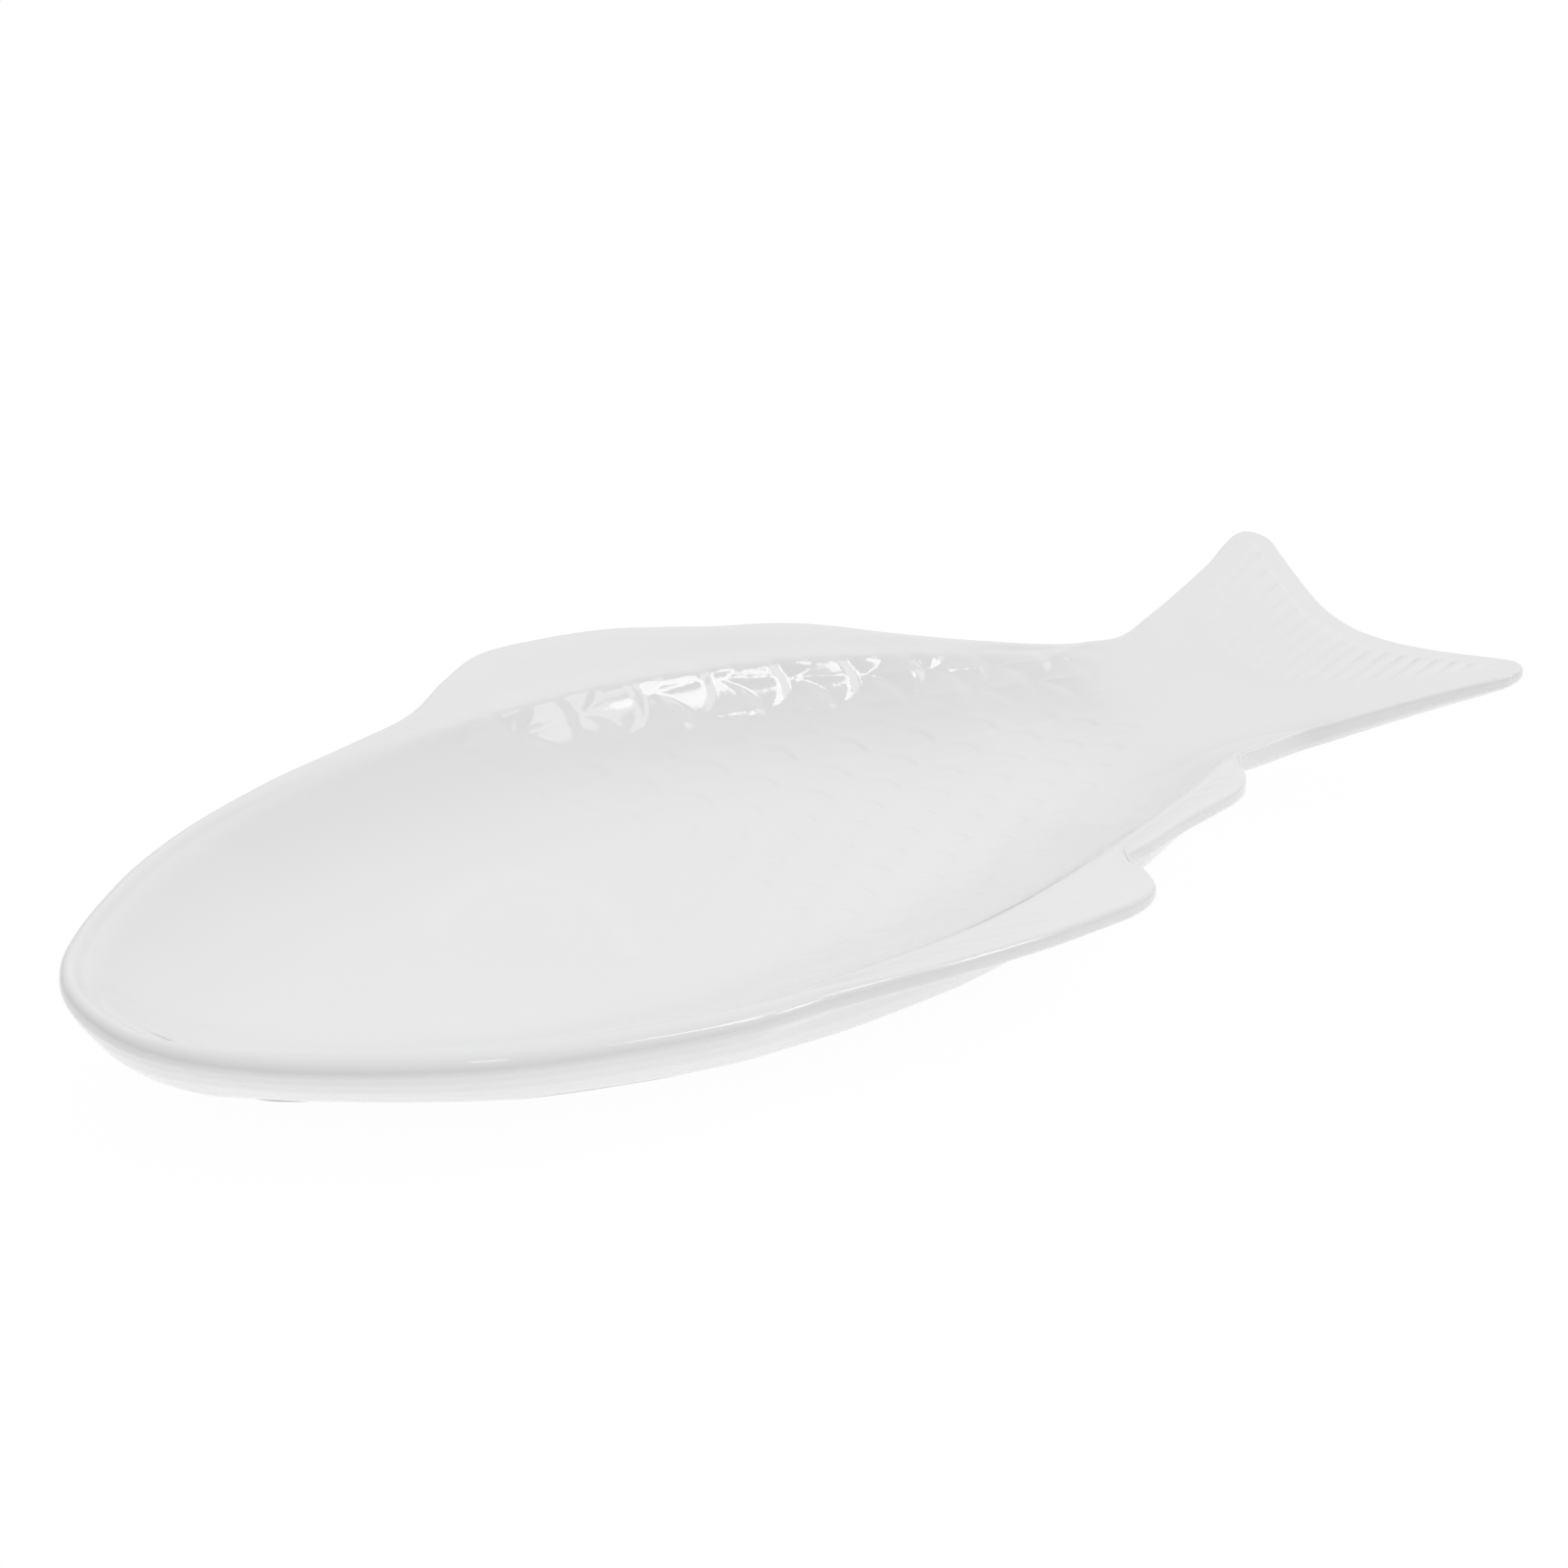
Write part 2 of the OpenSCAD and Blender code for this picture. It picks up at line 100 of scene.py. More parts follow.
footShares = [
    1.12, 1.14, 1.20, 1.27, 1.28, 1.22, 1.13, 1.07, 1.02, 1, 1, 1, 0.98, 0.96, 0.93, 0.91, 0.90,
    0.91, 0.90, 0.97, 1.13, 1.60, 1.30, 1.05, 0.80, 0.85] + [0.90] * 11
finStart, pelvicEnd, dorsalEnd, footEnd = 8, 17, 19, 21   # stations round half the outline
rootStation, lastStation = len(wellEdge), len(wellEdge) + len(tailEdge) - 1

grid = {
    "steps": 16,          # spokes between two stations
    "edgeRings": 7,       # round the upper and the lower quarter of the rolled edge
    "ledgeRings": 14,     # across the rim or a fin, upper face
    "wellRings": 90,      # from the well edge to the spine, upper face
    "underLedgeRings": 8,
    "underWellRings": 18,
    "wellCrowding": 1.25,  # above 1 the rings crowd towards the well edge
}


def mix(a, b, share):
    # a at share 0, b at share 1, and in a straight line between
    return a + (b - a) * share


def ramp(value, low, high):
    # smooth step: 0 below low, 1 above high, and three s squared less two s cubed between
    s = np.clip((value - low) / (high - low), 0, 1)
    return s * s * (3 - 2 * s)


def placed(shares, first, count, rest=0.0):
    # a table that starts at one station, with a rest value at all others
    row = np.full(count, rest, float)
    row[first:first + len(shares)] = shares
    return row


def tailHeight(x, y):
    # Height over the tail: the axis starts with a set slope, which also goes on before the root,
    # and flattens to the trailing edge on a cubic. The edge rises in a straight line, and across
    # the tail the height goes from axis to edge with the square of the distance out.
    p = platter
    bodyLength = p["length"] - p["tailLength"]
    way = (x - bodyLength) / p["tailLength"]
    u = np.clip(way, 0, 1)
    rise = p["tailStart"] * (u * (1 - u) ** 2 + np.minimum(way, 0)) + u * u * (3 - 2 * u)
    axis = mix(p["rootAxisHeight"], p["trailAxisHeight"], rise)
    edge = mix(p["rimHeight"] - p["rootDrop"], p["rimHeight"] + p["tipRise"], u)
    half = mix(p["rootWidth"] / 2, p["tailSpan"] / 2, u)
    return axis + (edge - axis) * np.minimum(1, np.abs(y) / half) ** 2


def stationRows(dorsal):
    # One row for each station: edge x y, well edge x y, spine x, crest height, well edge height,
    # spine height, thickness, distance to the foot, share of the tail form, power of the fall
    # of the lower face.
    p = platter
    count = lastStation + 1
    bodyLength = p["length"] - p["tailLength"]
    wellHalf = p["bodyWidth"] / 2 - p["rimWidth"]
    rootHalf = p["rootWidth"] / 2 - p["rimWidth"]
    wellX = np.r_[wellEdge[:, 0] * bodyLength, bodyLength + tailEdge[:, 0] * p["tailLength"]]
    wellY = np.r_[wellEdge[:, 1] * wellHalf,
                  rootHalf + tailEdge[:, 1] * (p["tailSpan"] / 2 - rootHalf)]
    spine = np.r_[wellEdge[:, 2] * bodyLength, bodyLength + tailEdge[:, 2] * p["tailLength"]]
    if not dorsal:
        wellY = wellY - p["bellyTuck"] * placed(tuckShares, finStart + 1, count)
    setback = p["lobeSetback"] * placed(setbackShares, rootStation + 5, count)
    if dorsal:
        wellX = wellX - setback
        fins = [(a, mix(p["rimWidth"], p["dorsalWidth"], s)) for a, s in dorsalReach]
    else:
        fins = [(a, mix(p["rimWidth"], p["pelvicWidth"], s)) for a, s in pelvicReach]
        fins += [(a, mix(p["rimWidth"], p["analWidth"], s)) for a, s in analReach]
    least = p["rimThickness"] * p["leastReachShare"]
    fins = [(a, max(r, least)) for a, r in fins]
    rimShares = headRimShares if dorsal else [1] * len(headAngles)
    reach = np.array([(a, p["rimWidth"] * s) for a, s in zip(headAngles, rimShares)]
                     + fins
                     + [(a, p["rimWidth"] * p["tailRimShare"]) for a in tailAngles], float)
    angle = np.radians(reach[:, 0])
    edgeX, edgeY = wellX + reach[:, 1] * np.cos(angle), wellY + reach[:, 1] * np.sin(angle)
    tail = np.arange(count) >= rootStation
    dip = placed(dipShares, pelvicEnd, count)
    rim = np.where(tail, tailHeight(edgeX, edgeY), p["rimHeight"] - p["rootDrop"] * dip)
    rise = p["dorsalRise"] * placed(dorsalRiseShares, finStart + 1, count) if dorsal else 0
    ledge = np.where(tail, tailHeight(wellX, wellY), rim - p["rimFall"])
    depth = placed(spineDepthShares, pelvicEnd, count, 1.0)
    floor = np.where(tail, tailHeight(spine, 0 * spine), ledge - p["wellDepth"] * depth)
    thin = placed(finThinShares, finStart + 1, count) + placed(tailThinShares, rootStation, count)
    thick = mix(p["rimThickness"], p["tipThickness"], thin)
    blend = np.where(tail, 1.0, placed(tailBlendShares, pelvicEnd, count))
    foot = p["footInset"] * np.array(footShares)
    power = mix(p["underPower"], p["fullUnderPower"], np.array(fullShares))
    return np.stack([edgeX, edgeY, wellX, wellY, spine, rim + rise, ledge, floor, thick, foot,
                     blend, power], 1)


def spokeRows(rows, steps):
    # Smooth curve through the stations, whose tangent at each is half the way between its
    # neighbours. Beyond the long axis the neighbours are mirrored, so it closes smoothly.
    mirror = np.ones(rows.shape[1])
    mirror[[1, 3]] = -1
    ext = np.vstack([rows[1] * mirror, rows, rows[-2] * mirror])
    j = np.arange(lastStation * steps + 1)
    i = np.minimum(j // steps, lastStation - 1)
    u = (j / steps - i)[:, None]
    a, b, c, d = ext[i], ext[i + 1], ext[i + 2], ext[i + 3]
    return 0.5 * (2 * b + (c - a) * u + (2 * a - 5 * b + 4 * c - d) * u ** 2
                  + (3 * b - a - 3 * c + d) * u ** 3)


def surfaceGrid(dorsal):
    # Upper and lower points of every spoke. The edge is an upright face between a small quarter
    # of an ellipse above and a quarter circle of half the thickness below. The ledge is a smooth
    # step down to the well edge, and in the tail it follows the form of the tail. The wall falls
    # to the floor with a power of the way left, and the lower face falls to the foot with a power
    # of its own.
    p, g = platter, grid
    q = spokeRows(stationRows(dorsal), g["steps"])[:, None, :]
    edge, well = q[..., 0:2], q[..., 2:4]
    spine = np.concatenate([q[..., 4:5], 0 * q[..., 4:5]], -1)
    crest, ledge, floor, thick, foot = (q[..., n] for n in (5, 6, 7, 8, 9))
    blend = np.clip(q[..., 10], 0, 1)
    reach = np.linalg.norm(well - edge, axis=-1)
    inward = (well - edge) / reach[..., None]
    spoke = np.linalg.norm(spine - well, axis=-1)
    along = (spine - well) / spoke[..., None]
    radius = thick / 2
    run = np.minimum(p["wellRun"], spoke)
    foot = np.minimum(foot, spoke * p["spokeEndShare"])

    def ledgeTop(v, xy):
        # from crest to well edge by three v squared less two v cubed, and by its form in the tail
        plain = mix(crest, ledge, v * v * (3 - 2 * v))
        return mix(plain, tailHeight(xy[..., 0], xy[..., 1]), blend)

    def bowl(d, xy):
        # the wall: depth times one less a power of the part of its run that is left
        fall = (ledge - floor) * (1 - (1 - np.clip(d / run, 0, 1)) ** p["bowlPower"])
        return mix(ledge - fall, tailHeight(xy[..., 0], xy[..., 1]), blend)

    def underFall(d):
        # the same below, from the overhang outside the well edge to the foot
        left = 1 - np.clip((d + p["wallOverhang"]) / (foot + p["wallOverhang"]), 0, 1)
        return ((ledge - thick - p["footHeight"]) * (1 - blend)
                * (1 - left ** q[..., 11]))

    limits, side = edgeLimits, edgeForm["dorsal" if dorsal else "belly"]
    corner, cornerDrop, ledgeSoft, wellSoft = (
        np.interp(np.arange(len(q)) / g["steps"], side["stations"], side[name])[:, None]
        for name in ("corners", "drops", "ledgeSoft", "wellSoft"))
    corner = np.minimum(corner, reach - limits["leastLedge"])
    cornerDrop = np.minimum(cornerDrop, radius * limits["mostDropShare"])
    quarter = np.linspace(0, math.pi / 2, g["edgeRings"])[None, :]

    def rolled(inset, z):
        # the middle of the upright face, and then the rounding at its distances in and heights
        d = np.concatenate([0 * radius, inset], 1)
        xy = edge + inward * d[..., None]
        base = ledgeTop(0, xy) - crest
        return d, np.concatenate([xy, (np.concatenate([crest - radius, z], 1) + base)[..., None]],
                                 -1)

    def ledgeXY(count, start):
        # even steps from the rounded edge to the well edge: distance in, share and place
        v = (np.arange(1, count + 1) / count)[None, :]
        d = mix(start, reach, v)
        return d, v, edge + inward * d[..., None]

    # upper face; the crease at the well edge is rounded by a parabola that starts on the ledge
    # and ends on the wall, each at its own distance from the crease
    bend = p["bowlPower"] * (ledge - floor) / run * (1 - blend)
    onLedge = np.minimum(ledgeSoft, reach - corner)
    gain = wellSoft - onLedge + 1e-6

    def rounding(s):
        # how far the surface lies below the sharp crease at a distance s past the well edge
        inside = (s > -onLedge) & (s < wellSoft)
        t = (np.sqrt(np.clip(onLedge ** 2 + gain * (onLedge + s), 0, None)) - onLedge) / gain
        return np.where(inside, bend * (wellSoft * t * t - np.clip(s, 0, None)), 0)

    rolledD, upperEdge = rolled(corner * (1 - np.cos(quarter)),
                                crest - cornerDrop * (1 - np.sin(quarter)))
    ledgeD, v, xy = ledgeXY(g["ledgeRings"], corner)
    z = ledgeTop(v, xy) - rounding(ledgeD - reach)
    upperLedge = np.concatenate([xy, z[..., None]], -1)
    w = (np.arange(1, g["wellRings"] + 1) / g["wellRings"])[None, :] ** g["wellCrowding"]
    dWell = spoke * w
    xy = well + along * dWell[..., None]
    z = bowl(dWell, xy) - rounding(dWell)
    upper = np.concatenate([upperEdge, upperLedge, np.concatenate([xy, z[..., None]], -1)], 1)

    # lower face; round the head the rounding stops half way, where the wall takes it up
    wide = ramp(reach, limits["sweepFrom"], limits["sweepTo"])
    sweep = (np.linspace(0, math.pi / 2, g["edgeRings"] + 1)[None, 1:]
             * mix(limits["headSweepShare"], 1, wide))
    lowerD, lowerEdge = rolled(radius * (1 - np.cos(sweep)),
                               crest - radius - radius * np.sin(sweep))
    d, v, xy = ledgeXY(g["underLedgeRings"], lowerD[:, -1:])
    z = np.maximum(p["footHeight"], ledgeTop(v, xy) - thick - underFall(d - reach))
    lowerLedge = np.concatenate([xy, z[..., None]], -1)
    w = (np.arange(1, g["underWellRings"] + 1) / g["underWellRings"])[None, :]
    dUnder = spoke * w
    xy = well + along * dUnder[..., None]
    top = bowl(dUnder, xy)
    low = mix(ledge - thick - underFall(dUnder), top - thick, blend)
    z = np.maximum(p["footHeight"], np.minimum(low, top - thick * p["leastWallShare"]))
    lower = np.concatenate([lowerEdge, lowerLedge, np.concatenate([xy, z[..., None]], -1)], 1)

    # distance in from the outer edge and from the well edge, for the relief
    fromEdge = np.concatenate([rolledD, ledgeD, reach + dWell], 1)
    fromWell = np.concatenate([rolledD - reach, ledgeD - reach, dWell], 1)
    extra = np.broadcast_to(reach, fromEdge.shape)
    flat = np.broadcast_to(blend, fromEdge.shape)
    return upper, lower, fromEdge, fromWell, extra, flat


edgeLimits = {
    "leastLedge": 0.3,       # ledge left beside the upper corner
    "mostDropShare": 0.98,   # most that the corner drops, as a share of half the thickness
    "headSweepShare": 0.5,   # how far the lower rounding goes on a rim as narrow as the first
    "sweepFrom": 6, "sweepTo": 9,   # of these widths, and it is full from the second on
}
# along the stations: width and drop of the upper corner of the edge, and how far the rounding of
# the crease at the well edge reaches out on the ledge and in on the wall
edgeForm = {
    "dorsal": {"stations": [0, 2, 6, 9, 18, 22, 24, 36],
               "corners": [1.9, 1.6, 1.4, 1.0, 1.0, 1.0, 0.9, 0.85],
               "drops": [1.8, 1.6, 1.4, 1.0, 1.0, 1.0, 0.9, 0.85],
               "ledgeSoft": [2.6, 2.4, 2.0, 1.2, 1.2, 1.6, 2.0, 2.0],
               "wellSoft": [4.0, 4.0, 3.5, 1.8, 1.8, 2.0, 2.0, 2.0]},
    "belly": {"stations": [0, 1, 3, 5, 8, 10, 22, 36],
              "corners": [1.9, 2.2, 3.6, 4.4, 4.2, 1.6, 1.0, 0.85],
              "drops": [1.8, 1.9, 2.2, 2.25, 2.2, 1.5, 1.0, 0.85],
              "ledgeSoft": [2.6, 2.4, 1.6, 1.2, 1.0, 0.6, 0.6, 2.0],
              "wellSoft": [4.0, 4.0, 3.5, 3.0, 2.0, 1.6, 1.6, 2.0]},
}

sides = [surfaceGrid(True), surfaceGrid(False)]
rimX = np.concatenate([sides[0][0][:, 0, 0], sides[1][0][:, 0, 0]])
centre = np.array([     # the origin of the solids is the middle of their outline's box
    (rimX.min() + rimX.max()) / 2,
    (sides[0][0][:, 0, 1].max() - sides[1][0][:, 0, 1].max()) / 2, 0])


def placedSide(n, layer):
    # one side in the row's frame: the belly side is mirrored across the long axis
    pts = sides[n][layer].copy()
    if n == 1:
        pts[..., 1] *= -1
    return pts - centre


upperGrid = np.stack([placedSide(0, 0), placedSide(1, 0)])
lowerGrid = np.stack([placedSide(0, 1), placedSide(1, 1)])
fromEdge, fromWell, reachLength, tailShare = (np.stack([sides[0][n], sides[1][n]])
                                              for n in (2, 3, 4, 5))
print("platter: surface grid", upperGrid.shape, "and", lowerGrid.shape)

# Pressed relief, upper face
scales = {
    "column": 7.5, "narrowing": 0.075, "tipX": 5.0, "lean": 0.065,
    "row": 6.85, "rowShrink": 0.035, "shrinkFrom": 22.0, "tilt": 0.17, "tiltFrom": 2.0,
    "height": 0.30, "lip": 2.9, "floorDepth": 0.21, "floorLip": 1.2, "nearLip": 6.0,
    "calmFrom": 7.0, "calmTo": 18.0,
    "gillX": -14.0, "gillCurve": 0.0093, "gillY": 2.0, "fadeIn": 12.0,
    "tailFrom": 84.0, "tailTo": 98.0,
    "firstRise": 1.4,    # slope of a tile at its start, against its mean slope
    "shortPower": 0.7,   # a tile that shows less of itself is lower, by this power
    "strokeIn": (-0.25, 0.1), "strokeOut": (0.5, 0.85),   # across a tile, ends of the crisp lip
    "dorsalFrom": -1.0, "dorsalTo": 0.8, "bellyFrom": 17.0, "bellyTo": 30.0,
}
rays = {
    "spacing": 3.8, "height": 0.26, "slope": 0.20, "fan": 0.011, "fanX": 122.0,
    "startX": 111.0, "startCurve": 0.016, "startY": 2.0, "startFade": 6.0,
    "edgeFrom": 3.2, "edgeTo": 7.0, "power": 0.8,
}
finRays = {"spacing": 1.5, "height": 0.09, "edgeFrom": 3.0, "edgeTo": 5.5, "wellFrom": 1.0,
           "wellTo": 3.0, "ledgeLeast": 6.5, "ledgeFade": 2.0, "power": 0.8,
           "breakStep": 0.55, "breakShift": 2.1}
gill = {"height": 0.22, "width": 2.6, "innerShare": 0.5, "wellFrom": 2.0, "wellTo": 6.0,
        "line": [(-68, 14), (-60, 20.5), (-50, 24), (-42, 22.5), (-37.5, 15), (-36.2, 7),
                 (-37.2, 0), (-39.1, -6), (-41.3, -14)],
        "inner": [(-56, 13), (-52, 15.5), (-47, 16), (-44, 12.5), (-43, 7)]}


def scaleRelief(x, y, wallIn, belly):
    # Overlapping rounded tiles in staggered rows. A tile ends at a half ellipse whose tip points
    # to the tail, and each point belongs to the tile nearest the nose whose end lies beyond it.
    # The tile rises from the end of the tile that covers it, a little faster at first, and drops
    # off over the lip at its own end. On the floor the tile is pressed in instead, and its lip is
    # crisp only on the dorsal side of its tip, where it makes a short stroke.
    s = scales
    step = s["row"] - s["rowShrink"] * np.clip(x - s["shrinkFrom"], 0, None)
    v = (y + s["tilt"] * np.clip(x - s["tiltFrom"], 0, None)) / step
    past = x - s["lean"] * y - s["tipX"]
    c, n = s["column"], s["narrowing"]
    root = np.sqrt(np.clip(c * c - 4 * n * np.clip(past, 0, None), 1, None))
    u = np.where(past > 0, (c - root) / (2 * n), past / c)
    size = np.where(past > 0, root, c)
    m = np.floor(u)
    ahead, across, front = (np.full(x.shape, np.nan), np.zeros(x.shape), np.zeros(x.shape))
    for column in (m, m + 1):
        parity = np.mod(column + 1, 2)
        b = v - parity - 2 * np.round((v - parity) / 2)
        end = column + np.sqrt(np.clip(1 - b * b, 0, 1)) - u
        take = np.isnan(ahead) & (end > 0)
        ahead = np.where(take, end, ahead)
        across = np.where(take, b, across)
        cover = column - 1 + np.sqrt(np.clip(1 - (1 - np.abs(b)) ** 2, 0, 1))
        front = np.where(take, u - cover, front)
    ahead, front = np.nan_to_num(ahead, nan=1.0), np.clip(front, 0, None)
    shown = np.maximum(ahead + front, 1e-6)
    way = front / shown
    dome = way * (s["firstRise"] - (s["firstRise"] - 1) * way)
    dome *= np.minimum(1, shown / 2) ** s["shortPower"]
    calm = np.where(belly, 1, ramp(wallIn, s["calmFrom"], s["calmTo"]))
    far = ramp(across, *s["strokeIn"]) - ramp(across, *s["strokeOut"])
    lip = mix(s["lip"], mix(s["nearLip"], s["floorLip"], far), calm)
    h = mix(s["height"], -s["floorDepth"], calm) * dome * ramp(ahead * size, 0, lip)
    gillEdge = s["gillX"] - s["gillCurve"] * (y - s["gillY"]) ** 2
    start = np.where(belly, s["bellyFrom"], s["dorsalFrom"])
    full = np.where(belly, s["bellyTo"], s["dorsalTo"])
    mask = (ramp(x - gillEdge, 0, s["fadeIn"]) * (1 - ramp(x, s["tailFrom"], s["tailTo"]))
            * ramp(wallIn, start, full))
    return h * mask


def rayRelief(x, y, edgeIn):
    # Ribs that run to the trailing edge and fan a little in the upper lobe. Across a rib the
    # height is the sine of half a turn to a low power, so the valleys are narrow.
    r = rays
    dx = x - r["fanX"]
    base = y - r["slope"] * dx
    root = np.where(base > 0, base / (1 + r["fan"] * dx), base)
    wave = np.abs(np.sin(np.pi * root / r["spacing"])) ** r["power"]
    start = r["startX"] + r["startCurve"] * (y - r["startY"]) ** 2
    mask = ramp(x - start, 0, r["startFade"]) * ramp(edgeIn, r["edgeFrom"], r["edgeTo"])
    return r["height"] * wave * mask


def finRelief(edgeIn, wallIn, reach, j, flat):
    # Fine broken ribs along the fin ledges, at a steady distance from the outer edge.
    f = finRays
    wave = np.abs(np.sin(np.pi * edgeIn / f["spacing"])) ** f["power"]
    turn = j * f["breakStep"] + f["breakShift"] * np.floor(edgeIn / f["spacing"])
    broken = 0.5 + 0.5 * np.sin(turn)
    mask = (ramp(edgeIn, f["edgeFrom"], f["edgeTo"]) * ramp(-wallIn, f["wellFrom"], f["wellTo"])
            * ramp(reach, f["ledgeLeast"], f["ledgeLeast"] + f["ledgeFade"]) * (1 - flat))
    return f["height"] * wave * broken * mask


def lineRelief(x, y, line, height, width):
    # A low ridge along a line of straight pieces: the height falls off with e to the minus square
    # of the distance to the nearest piece over the width.
    pts = np.array(line, float)
    best = np.full(x.shape, 1e9)
    for a, b in zip(pts[:-1], pts[1:]):
        ab = b - a
        t = np.clip(((x - a[0]) * ab[0] + (y - a[1]) * ab[1]) / (ab @ ab), 0, 1)
        best = np.minimum(best, np.hypot(x - a[0] - t * ab[0], y - a[1] - t * ab[1]))
    return height * np.exp(-(best / width) ** 2)


def gridNormals(pts, flip):
    # cross product of the central differences along the spokes and along the rings
    n = np.cross(np.gradient(pts, axis=0), np.gradient(pts, axis=1))
    n /= np.maximum(np.linalg.norm(n, axis=-1, keepdims=True), 1e-9)
    return -n if flip else n


gridX, gridY = upperGrid[..., 0], upperGrid[..., 1]
spokeIndex = np.broadcast_to(np.arange(gridX.shape[1])[None, :, None], gridX.shape)
bellyHalf = np.broadcast_to((np.arange(2) == 1)[:, None, None], gridX.shape)
gillRelief = (lineRelief(gridX, gridY, gill["line"], gill["height"], gill["width"])
              + lineRelief(gridX, gridY, gill["inner"], gill["height"] * gill["innerShare"],
                           gill["width"])) * ramp(fromWell, gill["wellFrom"], gill["wellTo"])
relief = (scaleRelief(gridX, gridY, fromWell, bellyHalf) + rayRelief(gridX, gridY, fromEdge)
          + finRelief(fromEdge, fromWell, reachLength, spokeIndex, tailShare) + gillRelief)
baseNormals = np.stack([gridNormals(upperGrid[0], False), gridNormals(upperGrid[1], True)])
baseNormals *= np.sign(baseNormals[..., 2:3] + 1e-12)
upperGrid = upperGrid + baseNormals * relief[..., None]
print("platter: relief up to %.2f mm" % relief.max())

# One shared set of points
upperRings, lowerRings = gridX.shape[2] - 1, lowerGrid.shape[2] - 1
wellRing = grid["edgeRings"] + grid["ledgeRings"]
underWellRing = grid["edgeRings"] + grid["underLedgeRings"]


def mergedIds(shape, start):
    # point numbers, with the spine and both ends of the long axis shared by the two sides
    ids = start + np.arange(np.prod(shape)).reshape(shape)
    ids[1, :, -1] = ids[0, :, -1]
    ids[1, 0, :] = ids[0, 0, :]
    ids[1, -1, :] = ids[0, -1, :]
    return ids


upperIds = mergedIds(gridX.shape, 0)
lowerIds = mergedIds(lowerGrid.shape[:3], upperIds.size)
lowerIds[:, :, 0] = upperIds[:, :, 0]
points = np.concatenate([upperGrid.reshape(-1, 3), lowerGrid.reshape(-1, 3)])
reliefAt = np.concatenate([relief.ravel(), np.zeros(lowerGrid[..., 0].size)])


def cells(ids, side, j0, j1, k0, k1, up):
    # Two triangles for each grid cell. Before the root the diagonal is the one that keeps both
    # triangles open where the first spoke lies on the long axis, and after it the other one.
    a, b = ids[side, j0:j1, k0:k1], ids[side, j0 + 1:j1 + 1, k0:k1]
    c, d = ids[side, j0 + 1:j1 + 1, k0 + 1:k1 + 1], ids[side, j0:j1, k0 + 1:k1 + 1]
    head = (np.arange(j0, j1) < rootStation * grid["steps"])[:, None]
    one = np.stack([a, b, np.where(head, d, c)], -1).reshape(-1, 3)
    two = np.stack([np.where(head, b, a), c, d], -1).reshape(-1, 3)
    tris = np.concatenate([one, two])
    return tris[:, ::-1] if (side == 0) == up else tris


def strip(top, low, flip):
    # A wall between an upper and a lower row of points that share both ends. The steps of the two
    # rows are taken in the order of their shares of the way, and each step adds one triangle,
    # but none where two of its corners are one point.
    n, m = len(top) - 1, len(low) - 1
    onTop = np.argsort(np.r_[np.arange(1, n + 1) / n, np.arange(1, m + 1) / m],
                       kind="stable") < n
    i, k = np.cumsum(onTop) - onTop, np.cumsum(~onTop) - ~onTop
    ahead = np.where(onTop, top[np.minimum(i + 1, n)], low[np.minimum(k + 1, m)])
    tris = np.stack([top[i], ahead, low[k]], 1)
    flat = (tris == np.roll(tris, 1, 1)).any(1)
    return tris[~flat][:, ::-1] if flip else tris[~flat]


def patch(side, first, last, inner):
    # upper and lower faces between two stations: the ledge, or the well inside it
    j0, j1 = first * grid["steps"], last * grid["steps"]
    if inner:
        return [cells(upperIds, side, j0, j1, wellRing, upperRings, True),
                cells(lowerIds, side, j0, j1, underWellRing, lowerRings, False)]
    return [cells(upperIds, side, j0, j1, 0, wellRing, True),
            cells(lowerIds, side, j0, j1, 0, underWellRing, False)]


def ringWall(side, first, last, outward):
    # the seam under the well edge, from the upper face down to the lower face
    j0, j1 = first * grid["steps"], last * grid["steps"] + 1
    return strip(upperIds[side, j0:j1, wellRing], lowerIds[side, j0:j1, underWellRing],
                 (side == 0) != outward)


def spokeWall(side, station, ledgePart, wellPart, toTail):
    # the seam along the spoke of a station: across the ledge, the well, or both
    j = station * grid["steps"]
    k0, k1 = (0 if ledgePart else wellRing), (upperRings if wellPart else wellRing)
    m0, m1 = (0 if ledgePart else underWellRing), (lowerRings if wellPart else underWellRing)
    return strip(upperIds[side, j, k0:k1 + 1], lowerIds[side, j, m0:m1 + 1],
                 (side == 0) != toTail)


dorsalSide, bellySide = 0, 1
allFaces = np.concatenate(sum([patch(s, 0, lastStation, inner)
                               for s in (dorsalSide, bellySide)
                               for inner in (False, True)], []))


def sharedNormals():
    # corner normal: the sum of the normals of the triangles round it, each as long as its area
    tri = points[allFaces]
    n = np.cross(tri[:, 1] - tri[:, 0], tri[:, 2] - tri[:, 0])
    out = np.zeros_like(points)
    for corner in range(3):
        np.add.at(out, allFaces[:, corner], n)
    return out / np.maximum(np.linalg.norm(out, axis=1, keepdims=True), 1e-12)


shared = sharedNormals()


